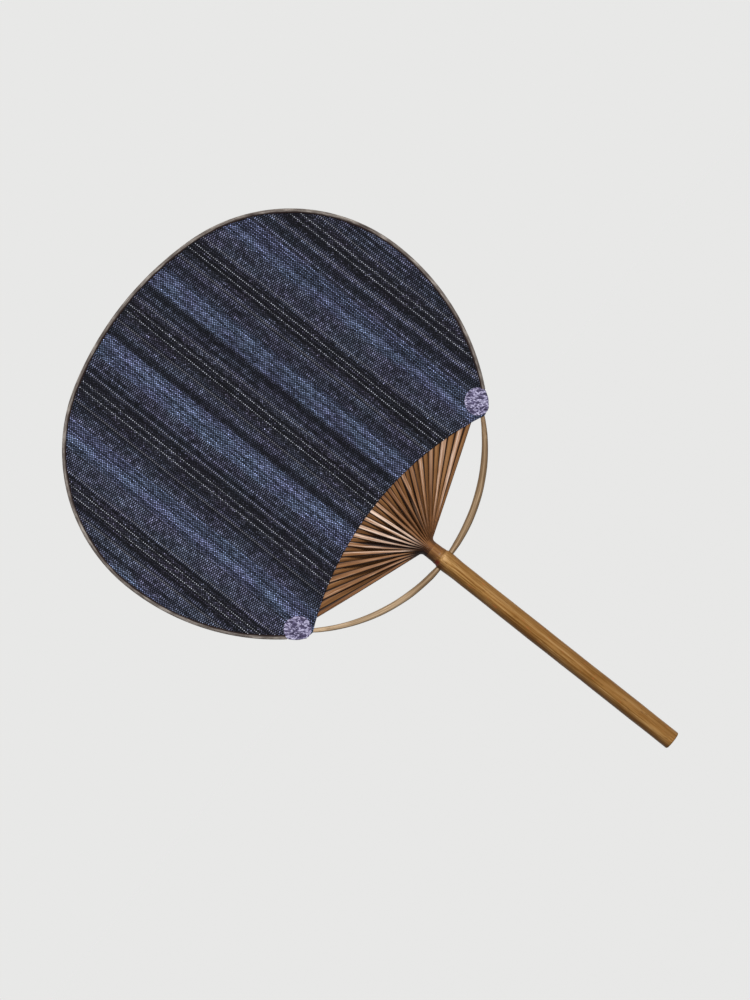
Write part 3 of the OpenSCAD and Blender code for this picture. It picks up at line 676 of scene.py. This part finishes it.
def add_rib(shape, i, front):
    """One rib: out of the neck, to the middle plane, and between the cloths nearly to the rim."""
    lean, start, turn_angle = rib_lean(i), rib_start(i), rib_turn(i)
    side = math.copysign(1, lean)
    bend_in = RIB_BEND * math.tan(abs(lean) / 2)
    depth0 = WALL_MID * math.cos(turn_angle)
    way = heading(lean)
    # it ends short of whichever arc of the disc's edge it meets
    top, shoulder, low = (
        reach_circle(start, lean, centre * [side, 1], radius - CLOTH_INSET)
        for centre, radius in ((TOP_C, TOP_R), (SHOULDER_C, SHOULDER_R), (SIDE_C, SIDE_R)))
    if abs((start + top * way)[0]) <= TOP_R * math.cos(SHOULDER_ANGLE):
        end_at = top
    else:
        end_at = shoulder if (start + shoulder * way)[1] >= WIDEST else low
    end_at -= RIB_END_GAP + rng.uniform(0, 0.6)
    delay = 1 + DELAY * math.sin(turn_angle) ** 2
    cut = slice_corners(turn_angle)
    flat_at, cloth_at, narrow_at = (reach_circle(start, lean, WINDOW_C, WINDOW_R + past)
                                    for past in (-1, 0, THREAD_INSET / 2))
    width = RIB_WIDTH * rng.uniform(0.9, 1.0)
    # on each side a rib reaches just past the middle of the room to the next one
    fills = rng.uniform(1.03, 1.05, 2)
    others = [rib_start(i)[0] - rib_start(i - 1)[0] if i else None,
              rib_start(i + 1)[0] - rib_start(i)[0] if i < RIBS - 1 else None]
    sway, bow_out = rng.normal(0, 0.05), rng.normal(0, 0.03)
    lift = rng.uniform(-0.12, 0.05)
    # where a rib goes under the cloth, its sections run along the cloth's edge
    normal = start + cloth_at * way - WINDOW_C
    slant = -(way[1] * normal[0] - way[0] * normal[1]) / (way @ normal)
    # each station is a place, lean, depth, blend to the flat form, width, crown, distance from
    # the start where the rib fills its room, and slant
    stations = [(np.array([start[0], NECK_TOP]), 0.0, depth0, 0.0, width, 0.0, 0, 0)]
    for t in np.linspace(0, 1, 7):
        a = lean * t
        place = [start[0] + side * RIB_BEND * (1 - math.cos(a)),
                 SPLIT_HEIGHT - bend_in + RIB_BEND * math.sin(abs(a))]
        stations.append((np.array(place), a, depth0, 0.0, width, 0.02 + 0.2 * t, 0, 0))
    for t in np.linspace(1 / 16, 1, 16):
        f = t ** delay
        reach_now = bend_in + (flat_at - bend_in) * t
        off = sway * math.sin(math.pi * t) + bow_out * math.sin(2 * math.pi * t)
        place = start + reach_now * way + off * np.array([way[1], -way[0]])
        rise = lift * math.sin(math.pi * t) ** 2
        stations.append((place, lean, (depth0 + rise) * (1 - f), f, width,
                         0.22 + 0.78 * min(1, 2 * t), reach_now, slant * max(0, t - 0.8) * 5))
    stations.append((start + (cloth_at + 0.35) * way, lean, 0.0, 1.0, width, 1.0, cloth_at, slant))
    for t in np.linspace(0, 1, 6):
        place = start + (narrow_at + (end_at - narrow_at) * t) * way
        stations.append((place, lean, 0.0, 1.0, width + (RIB_END_WIDTH - RIB_WIDTH) * t, 1.0, 0,
                         slant * (1 - t)))
    rings, grain, along = [], [], 0.0
    for n, (place, a, depth, blend, wide, crown, reach_now, lag) in enumerate(stations):
        if n:
            along += np.hypot(*(place - stations[n - 1][0]))
        section = rib_section(turn_angle, cut, wide, blend, crown)
        for sign, fill, other in zip((-1, 1), fills, others):
            if reach_now and other is not None:
                room = (reach_now * RIB_PITCH + other * way[1]) / 2
                half = min(fill * room + 0.12 * depth, 1.8 * room)
                beside = section[:, 0] * sign > 0
                section[beside, 0] *= max(1, half / np.max(section[:, 0] * sign))
        ring = np.stack([place[0] + section[:, 0] * (math.cos(a) + lag * math.sin(a)),
                         depth + section[:, 1],
                         place[1] - section[:, 0] * (math.sin(a) - lag * math.cos(a))], 1)
        if not front:
            ring[:, 1] *= -1
        rings.append(ring)
        grain.append(np.stack([section[:, 0] + 7.3 * i, section[:, 1], np.full(12, along)], 1))
    # the ribs from the cane's front are paler left of the middle, a painted highlight, and two
    # groups on the right are a little paler than the rest
    degrees = math.degrees(lean)
    pale = bell(degrees, -15, 17) if front else 0.0
    paler = 0.25 * bell(degrees, 33, 5) + 0.25 * bell(degrees, 62, 8)
    shape.skin(rings, grain, tone=0.3 * rng.uniform(0, 1) + 0.6 * pale + paler,
               edge=np.tile(EDGES, len(rings)))


def make_ribs(front, name, node, material):
    shape = Shape()
    for i in range(0 if front else 1, RIBS, 2):
        add_rib(shape, i, front)
    shape.build(name, material, [node], sharp=60)


# ---- bow

def make_bow():
    """The bow: round in the cane's hole, wider halfway, and flat at its ends."""
    shape = Shape()
    arc_end = BOW_TIP * BOW_R
    tang = arc_end - 8.5
    stations = np.linspace(-1, 1, 221) * BOW_TIP
    wide_knots = ([SWELL_R, 10, 22, tang - 32, tang, arc_end], [2.7, 3.2, 3.35, 3.2, 2.3, 1.2])
    thick_knots = ([tang - 9, tang], [2.65, RIB_THICK])
    sides = 24
    around = np.linspace(0, 2 * math.pi, sides, endpoint=False)
    shaved = 0.02 * waves(stations * BOW_R, 17)
    planed = 0.02 * waves(stations * BOW_R, 9)
    # its section is a little squarer than an ellipse
    flank, rise = (np.sign(v) * np.abs(v) ** 0.88 for v in (np.cos(around), np.sin(around)))
    rings, grain = [], []
    for a, bump, flat in zip(stations, shaved, planed):
        s = abs(a) * BOW_R
        fade = progress(s, 5.5, 9.5) * progress(s, tang, tang - 6)
        w = np.interp(s, *wide_knots) / 2 * (1 + bump * fade)
        # wider on the right
        w += (0.22 * bell(a * BOW_R, 38, 22) + 0.15 * bell(a * BOW_R, 62, 10)) * fade
        t = np.interp(s, *thick_knots) / 2 * (1 + flat * fade)
        across, depth = w * flank, t * rise
        r = BOW_R - across
        rings.append(np.stack([r * math.sin(a), depth, BOW_R - r * math.cos(a)], 1))
        grain.append(np.stack([across, depth, np.full(sides, a * BOW_R)], 1))
    # lighter on the left, but for the part beside the handle
    tone = 0.48 - 0.3 * np.tanh(stations * 4) - 0.35 * bell(stations * BOW_R, -12, 9)
    shape.skin(rings, grain, tone=np.repeat(tone, sides),
               edge=np.tile(0.8 * np.abs(np.cos(around)), len(rings)))
    # the last colour is painted shade on the bow's flanks; the light colour also makes the painted
    # highlight along its middle
    bamboo = split_bamboo("bow_bamboo", (100, 76, 52), (152, 125, 94), (212, 184, 150), 0.04,
                          (112, 92, 70), False)
    shape.build("bow_stick", bamboo, ["bow"], sharp=60)


# ---- weaving thread

def cross_angle(i):
    """Where a rib crosses the thread's line, as an angle about the centre of that line."""
    start, lean = rib_start(i), rib_lean(i)
    reach = reach_circle(start, lean, WINDOW_C, WINDOW_R + THREAD_INSET)
    return math.atan2(*(start + reach * heading(lean) - WINDOW_C))


crossings = np.array([cross_angle(i) for i in range(RIBS)])


def thread_depth(rib):
    """The thread's depth at a place counted in ribs: in front of even ribs, behind odd ones."""
    low = np.clip(np.floor(rib), 0, RIBS - 1)
    part = rib - low
    sign = np.where(low % 2 == 0, 1.0, -1.0)
    turned = np.clip((part - 1 / 3) * 3, 0, 1)
    inside = sign * (1 - 2 * turned * turned * (3 - 2 * turned))
    # past the outermost ribs it keeps its depth for 1.2 mm, then comes to the middle plane
    ends = np.clip(1 - (np.maximum(-rib, rib - (RIBS - 1)) * 3.1 - 1.2), 0, 1)
    edge = np.where(rib < 0, 1.0, -1.0) * ends
    return WEAVE_DEPTH * np.where((rib < 0) | (rib > RIBS - 1), edge, inside)


def make_thread():
    """Two strands twisted round each other, from side to side of the window's edge."""
    shape = Shape()
    weave_r = WINDOW_R + THREAD_INSET
    step = crossings[1] - crossings[0]
    angles = np.arange(-24.2, 24.2, 0.05) * math.pi / 180
    rib = np.interp(angles, crossings, np.arange(RIBS))
    rib = np.where(angles < crossings[0], (angles - crossings[0]) / step, rib)
    rib = np.where(angles > crossings[-1], RIBS - 1 + (angles - crossings[-1]) / step, rib)
    depth = thread_depth(rib)
    around = np.arange(6) * math.pi / 3
    for strand in (0, math.pi):
        rings = []
        for a, d in zip(angles, depth):
            twist = a * weave_r * 2 * math.pi / TWIST_LENGTH + strand
            r = weave_r + STRAND_R * (math.cos(twist) + np.cos(around))
            at = d + STRAND_R * (math.sin(twist) + np.sin(around))
            rings.append(np.stack([r * math.sin(a), at, WINDOW_C[1] + r * math.cos(a)], 1))
        shape.skin(rings)
    cotton = plain_fibre("cotton_thread", [(0, (196, 188, 170)), (1, (238, 232, 218))], 6, 6, 0.85)
    shape.build("weave_yarn", cotton, ["weaving_thread"], sharp=80)


# ---- cloths

def cloth_outline():
    """A cloth's edge, from its lower right corner over the top and back along the window."""
    step = 0.5
    corner_in = math.atan2(*(WINDOW_C - CORNER_C)[::-1])
    corner_out = math.atan2(*(CORNER_C - SIDE_C)[::-1])
    edge = math.atan2(*(CORNER_C - WINDOW_C)[::-1])
    corner = arc(CORNER_C, CORNER_R, corner_in, corner_out, 0.3)
    rim = outline(-CLOTH_INSET, corner_out, step)
    low = arc(WINDOW_C, WINDOW_R, math.pi - edge, edge, step)
    return np.concatenate([corner[:-1], rim, corner[::-1][1:] * [-1, 1], low[1:-1]])


def ray_span(start, lean, polygon):
    """The first and last distance at which a ray crosses the outline."""
    way = heading(lean)
    side = np.array([way[1], -way[0]])
    p = polygon - start
    q = np.roll(p, -1, axis=0)
    ps, qs = p @ side, q @ side
    hit = (ps > 0) != (qs > 0)
    t = ps[hit] / (ps[hit] - qs[hit])
    along = (p[hit] + t[:, None] * (q[hit] - p[hit])) @ way
    along = along[along > 10]       # the line also meets the outline near or behind its start
    return along.min(), along.max()


def make_cloth(front, name, node, material):
    """One face's cloth: two layers of points, joined along their border."""
    polygon = cloth_outline()
    # columns along and between the ribs, denser over each rib, and a few past the outermost
    columns = np.concatenate([[n + part for n in range(RIBS - 1) for part in
                               (0, 0.1, 0.22, 0.36, 0.5, 0.64, 0.78, 0.9)], [RIBS - 1]])
    beyond = np.array([0.15, 0.35, 0.6, 0.8, 1.0, 1.15, 1.3, 1.38])
    columns = np.concatenate([-beyond[::-1], columns, RIBS - 1 + beyond])
    low_rows = [0, 0.25, 0.7, 1.1, 1.4, 1.65, 1.85, 2.0, 2.15, 2.35, 2.6, 2.95, 3.6, 4.6, 6.5]
    high_rows = 52
    rows = len(low_rows) + high_rows
    points = np.zeros((2, rows, len(columns), 3))
    for n, i in enumerate(columns):
        low = int(np.clip(math.floor(i), 0, RIBS - 2))
        start = rib_start(low) + (rib_start(low + 1) - rib_start(low)) * np.clip(i - low, 0, 1)
        lean = rib_lean(i)
        first, last = ray_span(start, lean, polygon)
        reach = []
        for k, d in enumerate(low_rows):
            s = reach_circle(start, lean, WINDOW_C, WINDOW_R + d)
            reach.append(min(max(s, first + 0.02 * k), last - 0.02 * (rows - k)))
        reach += list(np.linspace(reach[-1], last, high_rows + 1)[1:])
        reach = np.array(reach)
        spots = start + reach[:, None] * heading(lean)
        gap = abs(i - round(float(np.clip(i, 0, RIBS - 1)))) * RIB_PITCH * reach
        inset = np.hypot(*(spots - WINDOW_C).T) - WINDOW_R
        # the cloth sags between the ribs, and the thread raises it beside the lower edge
        sag = CLOTH_SAG * np.clip((inset - 3) / 12, 0, 1)
        base = CLOTH_FACE - sag * (1 - bell(gap, 0, 1.3))
        thread = thread_depth(i) * (1 if front else -1)
        ridge = max(0.0, thread + WEAVE_DEPTH - base.min())
        base = base + ridge * bell(inset, THREAD_INSET, 0.42) - 0.05 * bell(inset, 0, 0.3)
        for layer, depth in enumerate((base, base - CLOTH_THICK)):
            points[layer, :, n] = np.stack([spots[:, 0], depth, spots[:, 1]], 1)
    if not front:
        points[..., 1] *= -1
    shape = Shape()
    for layer in range(2):
        shape.skin(points[layer], closed=False, caps=False)
    index = np.arange(rows * len(columns)).reshape(rows, -1)
    border = np.concatenate([index[0, :-1], index[:-1, -1], index[-1, :0:-1], index[::-1, 0]])
    shape.join(border.tolist(), (border + index.size).tolist())
    piece = shape.build(name, material, [node], sharp=60)


# ---- edging tape

def make_tape():
    """The edging: a thin U-shaped section along the disc's edge, from ear to ear."""
    shape = Shape()
    path = outline(0, math.radians(-62), 0.7)
    from_ear = np.hypot(np.abs(path[:, 0]) - EAR_C[0], path[:, 1] - EAR_C[1])
    path = path[(path[:, 1] > EAR_C[1]) & (from_ear > EAR_R + 0.02)]
    ahead = np.gradient(path, axis=0)
    ahead /= np.hypot(*ahead.T)[:, None]
    outward = np.stack([ahead[:, 1], -ahead[:, 0]], 1)
    along = np.concatenate([[0], np.cumsum(np.hypot(*np.diff(path, axis=0).T))])
    wide_front, wide_back = (TAPE_WIDTH - 0.05 + 0.1 * waves(along, 24) for _ in range(2))
    pucker = np.clip(0.03 * waves(along, 5, 6) + 0.02 * waves(along, 2.1, 4), -0.07, 0.03)
    # the strip's two ends overlap for a few millimetres on the left shoulder
    seam = np.abs(along - along[np.argmin(np.hypot(*(path - TAPE_SEAM).T))])
    lap = 0.12 * np.clip(1.5 - seam / 2.2, 0, 1) * (seam < 3.3)
    inner = LEAF_INNER
    rings, grain = [], []
    for centre, way, place, w, v, p, extra in zip(path, outward, along, wide_front, wide_back,
                                                  pucker, lap):
        d = inner + TAPE_THICK + extra
        outer = [(-w, inner + 0.1), (-w + 0.05, d - 0.02 + p * 0.3), (-w * 0.75, d + p),
                 (-w * 0.5, d + p * 0.6), (-w * 0.27, d - 0.03 + p * 0.4), (-0.2, d * 0.78),
                 (-0.05, d * 0.45), (0.0, 0.0)]
        mirrored = [(-v if k < 1 else o * v / w if k < 5 else o, -depth)
                    for k, (o, depth) in enumerate(outer)][-2::-1]
        inside = [(-v, -inner), (-0.3, -inner), (-0.24, -inner * 0.7), (-TAPE_THICK, 0.0),
                  (-0.24, inner * 0.7), (-0.3, inner), (-w, inner)]
        section = np.array(outer + mirrored + inside)
        flat = centre + section[:, :1] * way
        rings.append(np.stack([flat[:, 0], section[:, 1], flat[:, 1]], 1))
        grain.append(np.column_stack([section, np.full(len(section), place)]))
    shape.skin(rings, grain)
    shape.build("edging_strip", edging_paper(), ["edging_tape"], sharp=42)


# ---- ear patches

def make_ear(side, name, node, material):
    """A round patch folded over the cloth's corner and the bow's end, as a thin shell."""
    shape = Shape()

    def to_arc(a):
        """From the patch's middle to the disc's edge, in a direction."""
        d = EAR_C - SIDE_C
        along = d @ np.array([math.cos(a), math.sin(a)])
        return math.sqrt(along ** 2 - d @ d + SIDE_R ** 2) - along

    outward = math.atan2(*(EAR_C - SIDE_C)[::-1])
    limit = next(w for w in np.arange(0, math.pi, 0.002) if to_arc(outward + w) > EAR_R)
    fold = np.linspace(outward - limit, outward + limit, 33)
    free = np.linspace(outward + limit, outward - limit + 2 * math.pi, 49)[1:-1]
    angles = np.concatenate([fold, free])
    folds, rows, turns = len(fold), 9, 7
    uneven = 0.1 * waves(angles * 3, 2 * math.pi, 5)
    uneven *= np.concatenate([np.zeros(folds), np.sin(np.linspace(0, math.pi, len(free))) ** 0.5])
    bulge = np.concatenate([np.sin(np.linspace(0, math.pi, folds)) ** 0.8, np.zeros(len(free))])
    # the patch is a little longer towards its lower inner side
    uneven += 0.9 * np.clip(np.cos(angles + math.radians(141)), 0, 1) ** 2
    reach = np.array([min(EAR_R, to_arc(a)) for a in angles]) + uneven + 0.65 * bulge
    crease = rng.uniform(0, 6.3, (6, 3))

    def wrinkle(x, h):
        return sum(0.03 * math.sin(x * (1.1 + 0.4 * math.sin(a)) + h * 1.5 * math.cos(b) + c)
                   for a, b, c in crease)

    # four layers: on each face (sign), one outside and one against the cloth
    rims = {}
    for sign, outside in ((1, 1), (1, 0), (-1, 0), (-1, 1)):
        depth = LEAF_INNER + outside * EAR_THICK
        middle = (EAR_C[0], sign * (depth + outside * EAR_CROWN), EAR_C[1])
        ring = shape.row([middle]) * (len(angles) + 1)
        for j in range(1, rows + 1):
            points = []
            for k, a in enumerate(angles):
                rho = (reach[k] - (EAR_FOLD_R if k < folds else 0.0)) * j / rows
                x, h = EAR_C[0] + rho * math.cos(a), EAR_C[1] + rho * math.sin(a)
                d = depth
                if outside:
                    creased = wrinkle(x, h) * (1 if j < rows else 0.4)
                    d += EAR_CROWN * (1 - (j / rows) ** 2) + creased
                    d -= 0.1 * (j == rows and k >= folds)
                points.append((x, sign * d, h))
            inner, ring = ring, shape.row(points)
            ring.append(ring[0])
            shape.join(inner, ring)
        rims[sign, outside] = ring
    # both layers bend round the cloth's edge, from the front to the back
    bends = []
    for outside in (1, 0):
        depth, bend_r = LEAF_INNER + outside * EAR_THICK, EAR_FOLD_R - (1 - outside) * EAR_THICK
        bend = [rims[1, outside][:folds]]
        for t in math.pi * np.arange(1, turns + 1) / (turns + 1):
            rho = reach[:folds] - EAR_FOLD_R + bend_r * math.sin(t)
            bend.append(shape.row(np.stack([EAR_C[0] + rho * np.cos(fold),
                                            np.full(folds, depth * math.cos(t)),
                                            EAR_C[1] + rho * np.sin(fold)], 1)))
        bend.append(rims[-1, outside][:folds])
        for one, two in zip(bend, bend[1:]):
            shape.join(one, two)
        bends.append(bend)
    # the shell's edges: at the two ends of the bend, and along each face's free edge
    for k in (0, -1):
        shape.join(*([line[k] for line in bend] for bend in bends))
    for sign in (1, -1):
        shape.join(*(rims[sign, outside][folds - 1:] for outside in (1, 0)))
    for block in shape.points:
        block[:, 0] *= side
    shape.build(name, material, [node], sharp=55)


# ---- the pieces

make_handle()
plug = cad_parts["handle_plug"]
plug.data.materials.clear()
plug.data.materials.append(plain_fibre("plug_wood", [(0, (150, 116, 74)), (1, (212, 184, 138))],
                                       1.6, 0.3, 0.6))
make_bow()
# the last colour of each is painted shade on the ribs' sides and in the gaps between them; the
# front's light colour shows mainly in its painted highlight
make_ribs(True, "front_rib_fan", "front_ribs", split_bamboo(
    "front_rib_bamboo", (96, 60, 34), (156, 110, 72), (250, 222, 202), 0.04, (31, 16, 9)))
make_ribs(False, "back_rib_fan", "back_ribs", split_bamboo(
    "back_rib_bamboo", (80, 50, 27), (132, 90, 53), (176, 130, 86), 0.0, (34, 19, 10)))
make_thread()
make_cloth(True, "front_cotton_sheet", "front_cloth",
           striped_cotton("front_cotton", 0.82))
make_cloth(False, "back_cotton_sheet", "back_cloth",
           striped_cotton("back_cotton", 12.0))
make_tape()
lavender = crepe()
make_ear(1, "right_ear_leaf", "right_ear_patch", lavender)
make_ear(-1, "left_ear_leaf", "left_ear_patch", lavender)

# ---- light, world and floor

AMBIENT = 0.2           # the world's light, from all sides
SUN_LEVEL = 0.85        # the main light, as what a white surface facing it would show
TOP_LEVEL = 0.1         # weak light from above
BACKGROUND = linear((232, 232, 231))
FLOOR_ALBEDO, FLOOR_HEIGHT = 0.5, -0.42
SUN_WAY = Vector((0.4, -0.84, 0.37)).normalized()


def add_sun(name, way, level, angle):
    data = bpy.data.lights.new(name, "SUN")
    data.energy, data.angle = level * math.pi, math.radians(angle)
    sun = bpy.data.objects.new(name, data)
    sun.rotation_mode = "QUATERNION"
    sun.rotation_quaternion = way.to_track_quat("Z", "Y")
    scene.collection.objects.link(sun)


add_sun("key_light", SUN_WAY, SUN_LEVEL, 16)
add_sun("top_light", Vector((0.1, -0.15, 1)).normalized(), TOP_LEVEL, 60)


def seen_directly(graph):
    """1 for rays that see the background directly, in a gloss or through glass."""
    camera_ray, gloss, glass = (graph.node("LightPath", {}, out=f"Is {kind} Ray")
                                for kind in ("Camera", "Glossy", "Transmission"))
    return graph.math("MAXIMUM", graph.math("MAXIMUM", camera_ray, gloss), glass)


scene.world = bpy.data.worlds.new("studio")
sky = Graph(scene.world)
sky.nodes.clear()
lights = sky.node("Background", {0: (AMBIENT, AMBIENT, AMBIENT, 1)})
shown = sky.node("Background", {0: BACKGROUND})
sky.close("OutputWorld", sky.node("MixShader", {0: seen_directly(sky), 1: lights, 2: shown}))

# the floor: what is seen of it has the background's colour, less the object's shadow
bpy.ops.mesh.primitive_plane_add(size=60, location=(0, 0, FLOOR_HEIGHT))
floor = bpy.context.object
floor.name = "studio_floor"
ground = Graph(bpy.data.materials.new("studio_floor"))
ground.nodes.clear()
floor.data.materials.append(ground.data)
lit = AMBIENT + SUN_LEVEL * SUN_WAY.z + TOP_LEVEL
spread = ground.node("BsdfDiffuse", {0: (FLOOR_ALBEDO, FLOOR_ALBEDO, FLOOR_ALBEDO, 1)})
glow = ground.node("Emission", {0: (*(c - FLOOR_ALBEDO * lit for c in BACKGROUND[:3]), 1),
                                1: seen_directly(ground)})
ground.close("OutputMaterial", ground.node("AddShader", {0: spread, 1: glow}))
